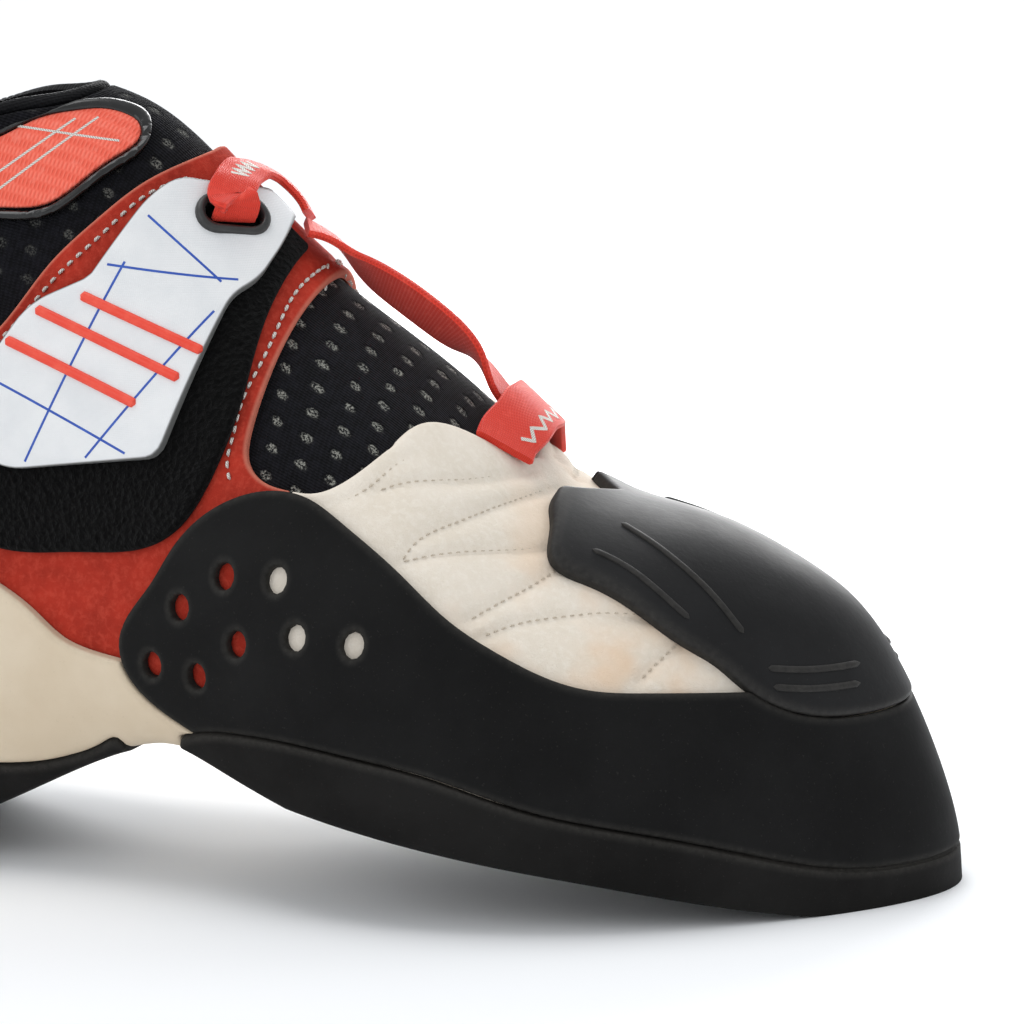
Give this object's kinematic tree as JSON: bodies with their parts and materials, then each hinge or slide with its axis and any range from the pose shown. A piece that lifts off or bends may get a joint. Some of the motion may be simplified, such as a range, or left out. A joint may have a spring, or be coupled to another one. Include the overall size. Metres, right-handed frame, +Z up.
{
  "type": "climbing shoe",
  "caption": "Downturned climbing shoe with a wraparound rubber rand, moulded toe patch, knitted sock collar and a strapped instep closure.",
  "frame": {"origin": "middle of the heel's flat spot on the floor", "axes": "+X to the toe along the floor, +Y to the inner side of the foot, +Z up; the outer side, with the closure tab, looks along -Y"},
  "size_m": [0.2431, 0.0893, 0.1286],
  "materials": {
    "outsole": "matte moulded",
    "rand": "matte",
    "toe_patch": "satin moulded",
    "upper": "suede, red quarters and off-white vamp",
    "tongue": "knit",
    "insole": "napped",
    "heel_band": "matte",
    "heel_sole": "matte",
    "closure_pad": "looped pile",
    "closure_tab": "printed film",
    "tab_eyelet": "glossy",
    "tab_loop": "woven",
    "instep_strap": "woven",
    "vamp_loop": "woven",
    "collar_binding": "ribbed",
    "tongue_badge": "moulded film",
    "badge_piping": "glossy"
  },
  "bodies": {
    "root": {"outsole": "outsole", "rand": "rand", "toe_patch": "toe_patch", "upper": "upper", "tongue": "tongue", "insole": "insole", "heel_band": "heel_band", "heel_sole": "heel_sole", "closure_pad": "closure_pad", "closure_tab": "closure_tab", "tab_eyelet": "tab_eyelet", "tab_loop": "tab_loop", "instep_strap": "instep_strap", "vamp_loop": "vamp_loop", "collar_binding": "collar_binding", "tongue_badge": "tongue_badge", "badge_piping": "badge_piping"}
  },
  "joints": []
}
